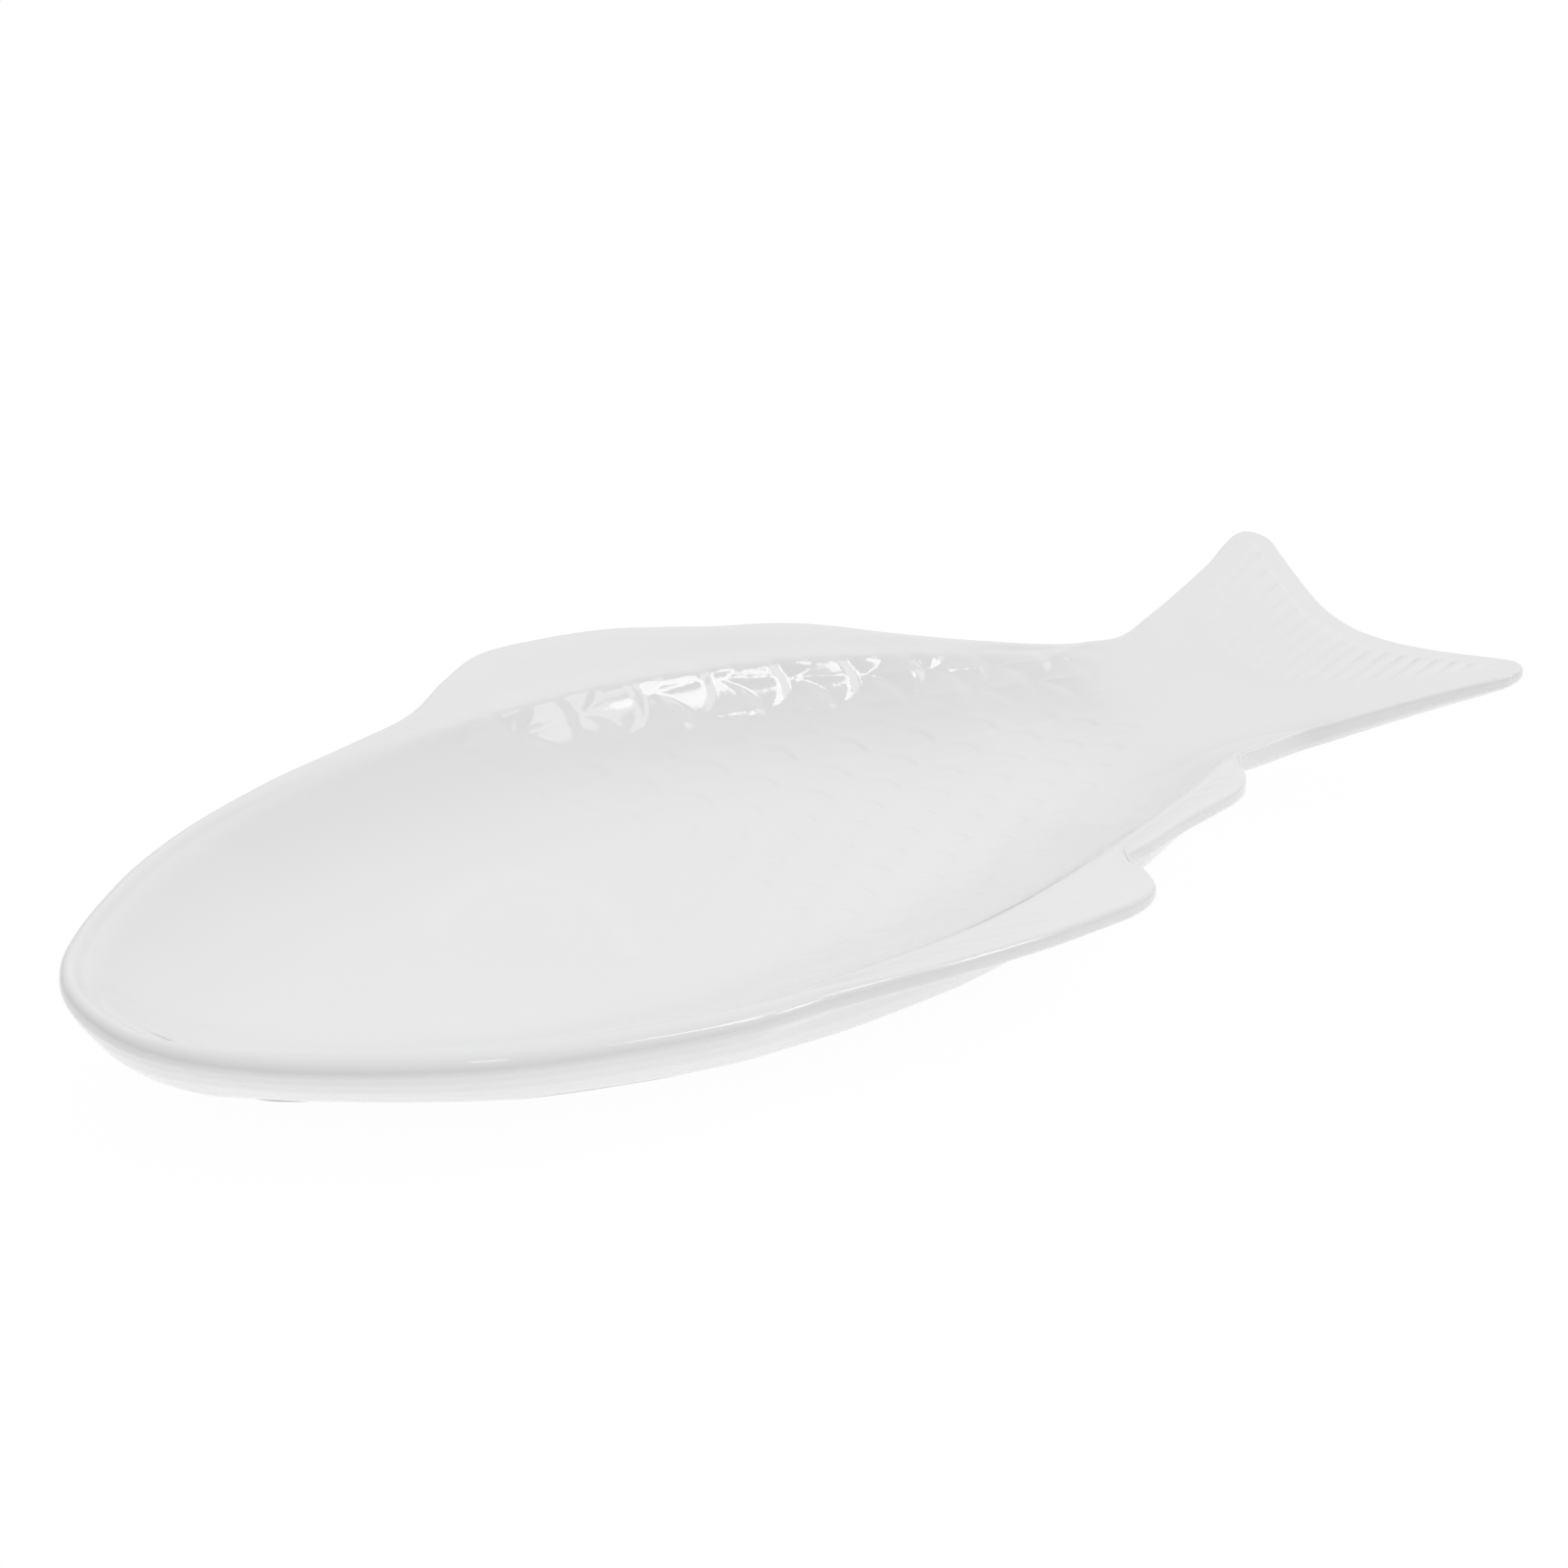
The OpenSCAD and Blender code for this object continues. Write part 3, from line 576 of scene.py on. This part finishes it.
def makePiece(name, faces, node, normals=True, pts=None, extra=None):
    # Keeps only the points that the faces use, and hands the whole arrays to the mesh. Corners
    # on a seam take the normals of the whole platter, so that no seam shows.
    pts = points if pts is None else pts
    faces = np.concatenate(faces) if isinstance(faces, list) else faces
    used, flat = np.unique(faces, return_inverse=True)
    flat = flat.reshape(-1)
    mesh = bpy.data.meshes.new(name)
    mesh.vertices.add(len(used))
    mesh.vertices.foreach_set("co", (pts[used] * mm).astype(np.float32).ravel())
    count = len(faces)
    mesh.loops.add(count * 3)
    mesh.loops.foreach_set("vertex_index", flat.astype(np.int32))
    mesh.polygons.add(count)
    mesh.polygons.foreach_set("loop_start", (np.arange(count) * 3).astype(np.int32))
    mesh.polygons.foreach_set("use_smooth", np.ones(count, bool))
    mesh.update(calc_edges=True)
    mesh.validate()
    values = (reliefAt[used] if extra is None else extra[used]).astype(np.float32)
    mesh.attributes.new("pressed", "FLOAT", "POINT").data.foreach_set("value", values)
    if normals:
        mesh.normals_split_custom_set_from_vertices(shared[used].tolist())
    piece = bpy.data.objects.new(name, mesh)
    bpy.context.scene.collection.objects.link(piece)
    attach(piece, "root")
    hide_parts(node)
    print("platter:", name, len(used), "points", count, "triangles")
    return piece


dishBody = makePiece("porcelain_dish_body", sum([
    patch(dorsalSide, 0, rootStation, True), patch(bellySide, 0, rootStation, True),
    patch(dorsalSide, 0, finStart, False), patch(bellySide, 0, finStart, False),
    patch(dorsalSide, dorsalEnd, rootStation, False)], []) + [
    ringWall(dorsalSide, finStart, dorsalEnd, True),
    ringWall(bellySide, finStart, rootStation, True),
    spokeWall(dorsalSide, finStart, True, False, True),
    spokeWall(bellySide, finStart, True, False, True),
    spokeWall(dorsalSide, dorsalEnd, True, False, False),
    spokeWall(dorsalSide, rootStation, True, True, True),
    spokeWall(bellySide, rootStation, False, True, True)], "dish_body")


def finPiece(name, side, first, last, node):
    # a ledge between two stations, closed by a wall under the well edge and one at each end
    return makePiece(name, patch(side, first, last, False) + [
        ringWall(side, first, last, False),
        spokeWall(side, first, True, False, False),
        spokeWall(side, last, True, False, True)], node)


dorsalFin = finPiece("porcelain_dorsal_fin", dorsalSide, finStart, dorsalEnd, "dorsal_fin")
pelvicFin = finPiece("porcelain_pelvic_fin", bellySide, finStart, pelvicEnd, "pelvic_fin")
analFin = finPiece("porcelain_anal_fin", bellySide, pelvicEnd, rootStation, "anal_fin")
tailFin = makePiece("porcelain_tail_fin", sum([
    patch(s, rootStation, lastStation, inner)
    for s in (dorsalSide, bellySide) for inner in (False, True)], []) + [
    spokeWall(dorsalSide, rootStation, True, True, False),
    spokeWall(bellySide, rootStation, True, True, False)], "tail_fin")

# Foot ring
footRing = {
    "count": 360, "smoothings": 6, "turnPoints": 7, "sink": 0.25, "round": 1.0, "lean": 0.35,
    "inset": 0.05, "waist": 0.6,      # set in at the top, and height of the waist as a share
    # the band below the glaze is also painted lighter, as painted light against the shade where
    # the foot meets the floor
    "bareLightenedFrom": 0.15, "bareLightenedTo": 0.7,  # the glaze is wiped off below
}


def footOutline(count):
    # The line on which the wall meets the foot: from the well edge its distance inwards along
    # each spoke. It is cut into even steps along its length and smoothed by halves and quarters.
    p, g = platter, grid

    def half(dorsal):
        # the line on one side of the long axis, which ends on the spine
        q = spokeRows(stationRows(dorsal), g["steps"])[:footEnd * g["steps"] + 1]
        well, spine = q[:, 2:4], np.stack([q[:, 4], 0 * q[:, 4]], 1)
        spoke = np.linalg.norm(spine - well, axis=1)
        d = np.minimum(q[:, 9], spoke * p["spokeEndShare"])
        line = well + (spine - well) / spoke[:, None] * d[:, None]
        line[-1] = spine[-1]
        return line

    whole = np.vstack([half(True), half(False)[-2:0:-1] * [1, -1]])
    loop = np.vstack([whole, whole[:1]])
    way = np.r_[0, np.cumsum(np.linalg.norm(np.diff(loop, axis=0), axis=1))]
    at = np.arange(count) / count * way[-1]
    line = np.stack([np.interp(at, way, loop[:, 0]), np.interp(at, way, loop[:, 1])], 1)
    for _ in range(footRing["smoothings"]):  # evens out the corners between the spokes
        line = (np.roll(line, 1, 0) + 2 * line + np.roll(line, -1, 0)) / 4
    return line - centre[:2]


def footMesh():
    # A closed profile carried round the outline: inward is the right of the way, up is up. The
    # sides lean in a little and both lower corners are quarter circles.
    f, p = footRing, platter
    line = footOutline(f["count"])
    way = np.roll(line, -1, 0) - np.roll(line, 1, 0)
    way /= np.linalg.norm(way, axis=1, keepdims=True)
    inward = np.stack([way[:, 1], -way[:, 0]], 1)
    top, width, r = p["footHeight"] + f["sink"], p["footWidth"], f["round"]
    turn = np.linspace(0, math.pi / 2, f["turnPoints"])
    outer = np.stack([f["lean"] + r * (1 - np.cos(turn)), r * (1 - np.sin(turn))], 1)
    inner = np.stack([width - f["lean"] - r * (1 - np.cos(turn[::-1])),
                      r * (1 - np.sin(turn[::-1]))], 1)
    waistIn, waist = f["inset"] + f["lean"] / 2, p["footHeight"] * f["waist"]
    profile = np.vstack([[f["inset"], top], [waistIn, waist], outer, inner,
                         [width - waistIn, waist], [width - f["inset"], top]])
    m, n = len(profile), f["count"]
    xy = line[:, None] + inward[:, None] * profile[None, :, 0:1]
    z = np.broadcast_to(profile[None, :, 1:2], (n, m, 1))
    pts = np.concatenate([xy, z], -1).reshape(-1, 3)
    i, k = np.meshgrid(np.arange(n), np.arange(m), indexing="ij")
    a, b = i * m + k, (i + 1) % n * m + k
    c, d = (i + 1) % n * m + (k + 1) % m, i * m + (k + 1) % m
    faces = np.concatenate([np.stack([a, b, c], -1).reshape(-1, 3),
                            np.stack([a, c, d], -1).reshape(-1, 3)])
    # share of unglazed clay; where it is high the colour is also painted lighter, as painted light
    # on the shaded foot
    bareLightened = 1 - ramp(pts[:, 2], f["bareLightenedFrom"], f["bareLightenedTo"])
    return pts, faces, bareLightened


footPts, footFaces, footBareLightened = footMesh()
tri = footPts[footFaces]
volume = np.einsum("ij,ij->i", tri[:, 0], np.cross(tri[:, 1], tri[:, 2])).sum()
if volume < 0:                               # then the faces point inwards
    footFaces = footFaces[:, ::-1]
foot = makePiece("porcelain_foot_ring", footFaces, "foot_ring",
                 normals=False, pts=footPts, extra=footBareLightened)

# Finishes
glaze = {
    # the second colour is a darker, cooler tone off the raised relief: partly pooled glaze, partly
    # painted shade in the hollows
    "colour": (0.855, 0.858, 0.855, 1), "pooledShade": (0.835, 0.842, 0.842, 1),
    "roughness": 0.06, "roughnessSpread": 0.03, "ior": 1.5,
    "cloudSize": 28.0, "cloud": 0.012, "cloudDetail": 4,
    "rippleSize": 260.0, "ripple": 0.00003, "rippleDetail": 2, "poolShadeGain": 1.6,
    "fullRelief": 0.3, "flatLevel": 0.35,   # relief in millimetres with no pooled glaze, and
                                            # the level of the plain surface on that scale
}
footFinish = {
    # the unglazed clay colour is set lighter than the glaze: painted light that lifts the shade on
    # the foot's lowest band by the floor
    "bareLightenedColour": (0.87, 0.865, 0.85, 1), "bareRoughness": 0.62, "grainSize": 2600.0,
    "grain": 0.00002,
}


def glazeGroup():
    # Glaze over white clay: a faint cloudiness, a darker, cooler tone wherever the relief is not
    # raised, partly glaze pooled there and partly painted shade in the hollows, slight changes of
    # gloss, and the low ripple that a fired glaze keeps.
    group = bpy.data.node_groups.new("firedGlaze", "ShaderNodeTree")
    face = group.interface
    for name, kind, default in (
            ("Colour", "NodeSocketColor", (0.8, 0.8, 0.8, 1)),
            ("Pooled Shade Colour", "NodeSocketColor", (0.7, 0.7, 0.7, 1)),
            ("Pressed", "NodeSocketFloat", 0.0), ("Cloud", "NodeSocketFloat", 0.01),
            ("Cloud Size", "NodeSocketFloat", 30.0), ("Roughness", "NodeSocketFloat", 0.06),
            ("Roughness Spread", "NodeSocketFloat", 0.03),
            ("Ripple Size", "NodeSocketFloat", 260.0)):
        face.new_socket(name, in_out="INPUT", socket_type=kind).default_value = default
    face.new_socket("Colour", in_out="OUTPUT", socket_type="NodeSocketColor")
    face.new_socket("Roughness", in_out="OUTPUT", socket_type="NodeSocketFloat")
    face.new_socket("Ripple", in_out="OUTPUT", socket_type="NodeSocketFloat")
    nodes, links = group.nodes, group.links
    gin, gout = nodes.new("NodeGroupInput"), nodes.new("NodeGroupOutput")
    place = nodes.new("ShaderNodeTexCoord")

    def noise(scaleSocket, detail):
        # soft noise over the piece's own coordinates
        n = nodes.new("ShaderNodeTexNoise")
        n.inputs["Detail"].default_value = detail
        links.new(place.outputs["Object"], n.inputs["Vector"])
        links.new(scaleSocket, n.inputs["Scale"])
        return n.outputs["Fac"]

    def math2(operation, a, b):
        # one sum of two numbers or sockets
        n = nodes.new("ShaderNodeMath")
        n.operation = operation
        for socket, value in zip(n.inputs, (a, b)):
            if isinstance(value, (int, float)):
                socket.default_value = value
            else:
                links.new(value, socket)
        return n.outputs[0]

    cloud = noise(gin.outputs["Cloud Size"], glaze["cloudDetail"])
    shade = math2("SUBTRACT", cloud, 0.5)
    shade = math2("MULTIPLY", shade, gin.outputs["Cloud"])
    shade = math2("ADD", math2("MULTIPLY", shade, 2), 1)
    # share of the plain colour: the raised relief keeps it, and the rest takes the darker tone,
    # partly pooled glaze and partly painted shade
    poolShade = math2("MINIMUM", math2("MULTIPLY", gin.outputs["Pressed"], glaze["poolShadeGain"]), 1)
    tone = nodes.new("ShaderNodeMix")
    tone.data_type = "RGBA"
    links.new(poolShade, tone.inputs["Factor"])
    links.new(gin.outputs["Pooled Shade Colour"], tone.inputs["A"])
    links.new(gin.outputs["Colour"], tone.inputs["B"])
    scaled = nodes.new("ShaderNodeVectorMath")
    scaled.operation = "SCALE"
    links.new(tone.outputs["Result"], scaled.inputs[0])
    links.new(shade, scaled.inputs["Scale"])
    links.new(scaled.outputs["Vector"], gout.inputs["Colour"])
    spread = math2("MULTIPLY", math2("SUBTRACT", cloud, 0.5), gin.outputs["Roughness Spread"])
    links.new(math2("ADD", gin.outputs["Roughness"], spread), gout.inputs["Roughness"])
    ripple = noise(gin.outputs["Ripple Size"], glaze["rippleDetail"])
    links.new(ripple, gout.inputs["Ripple"])
    return group


firedGlaze = glazeGroup()


def startMaterial(name):
    # what both porcelains share: the fired glaze, its low ripple, and the mark on the points
    material = bpy.data.materials.new(name)
    material.use_nodes = True
    nodes, links = material.node_tree.nodes, material.node_tree.links
    shader = nodes["Principled BSDF"]
    shader.inputs["IOR"].default_value = glaze["ior"]
    skin = nodes.new("ShaderNodeGroup")
    skin.node_tree = firedGlaze
    skin.inputs["Colour"].default_value = glaze["colour"]
    skin.inputs["Pooled Shade Colour"].default_value = glaze["pooledShade"]
    skin.inputs["Cloud"].default_value = glaze["cloud"]
    skin.inputs["Cloud Size"].default_value = glaze["cloudSize"]
    skin.inputs["Roughness"].default_value = glaze["roughness"]
    skin.inputs["Roughness Spread"].default_value = glaze["roughnessSpread"]
    skin.inputs["Ripple Size"].default_value = glaze["rippleSize"]
    bump = nodes.new("ShaderNodeBump")
    bump.inputs["Distance"].default_value = glaze["ripple"]
    links.new(skin.outputs["Ripple"], bump.inputs["Height"])
    links.new(bump.outputs["Normal"], shader.inputs["Normal"])
    mark = nodes.new("ShaderNodeAttribute")
    mark.attribute_name = "pressed"
    return material, nodes, links, shader, skin, bump, mark


def porcelainMaterial():
    # glazed all over; the mark is the height of the relief
    material, nodes, links, shader, skin, _, mark = startMaterial("glazed porcelain")
    # the plain surface and the hollows get the darker tone, which is partly painted shade
    level = nodes.new("ShaderNodeMapRange")           # relief in millimetres to 0 and 1
    level.inputs["From Max"].default_value = glaze["fullRelief"]
    level.inputs["To Min"].default_value = glaze["flatLevel"]
    links.new(mark.outputs["Fac"], level.inputs["Value"])
    links.new(level.outputs["Result"], skin.inputs["Pressed"])
    links.new(skin.outputs["Colour"], shader.inputs["Base Color"])
    links.new(skin.outputs["Roughness"], shader.inputs["Roughness"])
    return material


def footMaterial():
    # glazed above and unglazed clay below, whose colour is painted lighter as painted light
    # against the shade by the floor; the mark is the share of unglazed clay
    material, nodes, links, shader, skin, bump, mark = startMaterial("foot porcelain")
    skin.inputs["Pressed"].default_value = 1
    # painted light: the unglazed band takes the lighter colour against the shade by the floor
    colour = nodes.new("ShaderNodeMix")
    colour.data_type = "RGBA"
    colour.inputs["B"].default_value = footFinish["bareLightenedColour"]
    links.new(mark.outputs["Fac"], colour.inputs["Factor"])
    links.new(skin.outputs["Colour"], colour.inputs["A"])
    links.new(colour.outputs["Result"], shader.inputs["Base Color"])
    gloss = nodes.new("ShaderNodeMix")
    gloss.inputs["B"].default_value = footFinish["bareRoughness"]
    links.new(mark.outputs["Fac"], gloss.inputs["Factor"])
    links.new(skin.outputs["Roughness"], gloss.inputs["A"])
    links.new(gloss.outputs["Result"], shader.inputs["Roughness"])
    place = nodes.new("ShaderNodeTexCoord")
    grain = nodes.new("ShaderNodeTexNoise")
    grain.inputs["Scale"].default_value = footFinish["grainSize"]
    links.new(place.outputs["Object"], grain.inputs["Vector"])
    height = nodes.new("ShaderNodeMath")
    height.operation = "MULTIPLY"
    links.new(grain.outputs["Fac"], height.inputs[0])
    links.new(mark.outputs["Fac"], height.inputs[1])
    rough = nodes.new("ShaderNodeBump")
    rough.inputs["Distance"].default_value = footFinish["grain"]
    links.new(height.outputs[0], rough.inputs["Height"])
    links.new(bump.outputs["Normal"], rough.inputs["Normal"])
    links.new(rough.outputs["Normal"], shader.inputs["Normal"])
    return material


porcelain = porcelainMaterial()
for piece in (dishBody, dorsalFin, pelvicFin, analFin, tailFin):
    piece.data.materials.append(porcelain)
foot.data.materials.append(footMaterial())
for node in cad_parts.values():
    node.data.materials.clear()
    node.data.materials.append(porcelain)
print("platter: finishes done")

# Floor, light and camera
studio = {
    "floorSize": 1.3, "floorColour": (0.93, 0.93, 0.93, 1), "floorGlow": 0.96,
    "floorLight": 0.22, "floorRoughness": 0.9, "floorGloss": 0.1,
    # brightness of the room: even part, then parts that grow towards each direction
    "even": 0.10, "grows": [
        ("up", (0, 0, 1), 0.87), ("away", (0.573, 0.819, 0), 0.48),
        ("right", (0.819, -0.573, 0), 0.09)],
    "lamps": [
        # name, place in metres, aim, size across and along, watts
        ("key cloth", (0.318, -0.289, 1.13), (0.015, 0.055, 0.02), 0.11, 0.32, 0.66),
        ("edge cloth", (0.540, -0.545, 0.918), (0.015, 0.055, 0.02), 0.16, 0.20, 1.1),
        ("side cloth", (0.43, -0.185, 1.12), (0.015, 0.055, 0.02), 0.22, 0.15, 0.22),
        ("left cloth", (-0.045, -0.185, 1.195), (0.015, 0.055, 0.02), 0.10, 0.12, 0.22),
    ],
}


def floorMaterial():
    # White floor for the camera, glass and gloss, with the object's own shadow kept in it.
    s = studio
    material = bpy.data.materials.new("studio floor")
    material.use_nodes = True
    nodes, links = material.node_tree.nodes, material.node_tree.links
    shader, out = nodes["Principled BSDF"], nodes["Material Output"]
    shader.inputs["Base Color"].default_value = s["floorColour"]
    shader.inputs["Roughness"].default_value = s["floorRoughness"]
    shader.inputs["Specular IOR Level"].default_value = s["floorGloss"]
    glow = nodes.new("ShaderNodeEmission")
    glow.inputs["Strength"].default_value = 1
    path = nodes.new("ShaderNodeLightPath")
    seen = nodes.new("ShaderNodeMath")
    seen.operation = "MAXIMUM"
    links.new(path.outputs["Is Camera Ray"], seen.inputs[0])
    links.new(path.outputs["Is Glossy Ray"], seen.inputs[1])
    also = nodes.new("ShaderNodeMath")
    also.operation = "MAXIMUM"
    links.new(seen.outputs[0], also.inputs[0])
    links.new(path.outputs["Is Transmission Ray"], also.inputs[1])
    share = nodes.new("ShaderNodeMath")
    share.operation = "MULTIPLY"
    share.inputs[1].default_value = s["floorGlow"]
    links.new(also.outputs[0], share.inputs[0])
    blend = nodes.new("ShaderNodeMixShader")
    links.new(share.outputs[0], blend.inputs["Fac"])
    shader.inputs["Emission Color"].default_value = (1, 1, 1, 1)
    shader.inputs["Emission Strength"].default_value = s["floorLight"]
    links.new(shader.outputs[0], blend.inputs[1])
    links.new(glow.outputs[0], blend.inputs[2])
    links.new(blend.outputs[0], out.inputs["Surface"])
    return material


def makeFloor():
    # one flat square under the foot
    half = studio["floorSize"] / 2
    mesh = bpy.data.meshes.new("floor")
    mesh.from_pydata([(-half, -half, 0), (half, -half, 0), (half, half, 0), (-half, half, 0)], [],
                     [(0, 1, 2, 3)])
    floor = bpy.data.objects.new("floor", mesh)
    bpy.context.scene.collection.objects.link(floor)
    mesh.materials.append(floorMaterial())


def makeWorld():
    # White to the camera. Its light is an even part, and for each direction an amount times the
    # cosine towards it, where that is above zero.
    world = bpy.data.worlds.new("studio")
    bpy.context.scene.world = world
    world.use_nodes = True
    nodes, links = world.node_tree.nodes, world.node_tree.links
    back = nodes["Background"]
    back.inputs["Color"].default_value = (1, 1, 1, 1)
    place = nodes.new("ShaderNodeTexCoord")
    level = None
    for name, way, amount in studio["grows"]:
        part = nodes.new("ShaderNodeVectorMath")
        part.label = name
        part.operation = "DOT_PRODUCT"
        part.inputs[1].default_value = way
        links.new(place.outputs["Generated"], part.inputs[0])
        above = nodes.new("ShaderNodeMath")
        above.operation = "MAXIMUM"
        above.inputs[1].default_value = 0
        links.new(part.outputs["Value"], above.inputs[0])
        total = nodes.new("ShaderNodeMath")
        total.operation = "MULTIPLY_ADD"
        total.inputs[1].default_value = amount
        total.inputs[2].default_value = studio["even"]
        links.new(above.outputs[0], total.inputs[0])
        if level is not None:
            links.new(level, total.inputs[2])
        level = total.outputs[0]
    path = nodes.new("ShaderNodeLightPath")
    seen = nodes.new("ShaderNodeMix")                  # 1 where the camera looks
    seen.inputs["B"].default_value = 1
    links.new(path.outputs["Is Camera Ray"], seen.inputs["Factor"])
    links.new(level, seen.inputs["A"])
    links.new(seen.outputs["Result"], back.inputs["Strength"])


def aimed(place, target):
    # rotation that points an object's own back axis away from its target, with its top up
    back = np.array(place, float) - np.array(target, float)
    back /= np.linalg.norm(back)
    right = np.cross([0, 0, 1], back)
    right /= np.linalg.norm(right)
    up = np.cross(back, right)
    m = np.eye(4)
    m[:3, 0], m[:3, 1], m[:3, 2], m[:3, 3] = right, up, back, place
    return Matrix(m.tolist())


def makeLamps():
    # rectangles of light that the glaze mirrors as soft strips
    for name, place, target, across, along, watts in studio["lamps"]:
        lamp = bpy.data.lights.new(name, "AREA")
        lamp.shape = "RECTANGLE"
        lamp.size, lamp.size_y, lamp.energy = across, along, watts
        holder = bpy.data.objects.new(name, lamp)
        holder.matrix_world = aimed(place, target)
        bpy.context.scene.collection.objects.link(holder)


camera = {"azimuth": -34.994, "elevation": 25.812, "distance": 1.143951,
          "target": (0.018031, 0.01945, 0.012), "lens": 135.0, "sensor": 36.0,
          "near": 0.01, "far": 20.0}


def makeCamera():
    # on a sphere round its target, at the azimuth and the elevation of the photo
    a, e = math.radians(camera["azimuth"]), math.radians(camera["elevation"])
    back = np.array([math.sin(a) * math.cos(e), -math.cos(a) * math.cos(e), math.sin(e)])
    place = np.array(camera["target"]) + camera["distance"] * back
    data = bpy.data.cameras.new("camera")
    data.lens, data.sensor_width = camera["lens"], camera["sensor"]
    data.clip_start, data.clip_end = camera["near"], camera["far"]
    holder = bpy.data.objects.new("camera", data)
    holder.matrix_world = aimed(place, camera["target"])
    bpy.context.scene.collection.objects.link(holder)
    bpy.context.scene.camera = holder


makeFloor()
makeWorld()
makeLamps()
makeCamera()
bpy.context.scene.view_settings.view_transform = "Standard"
print("platter: studio done")
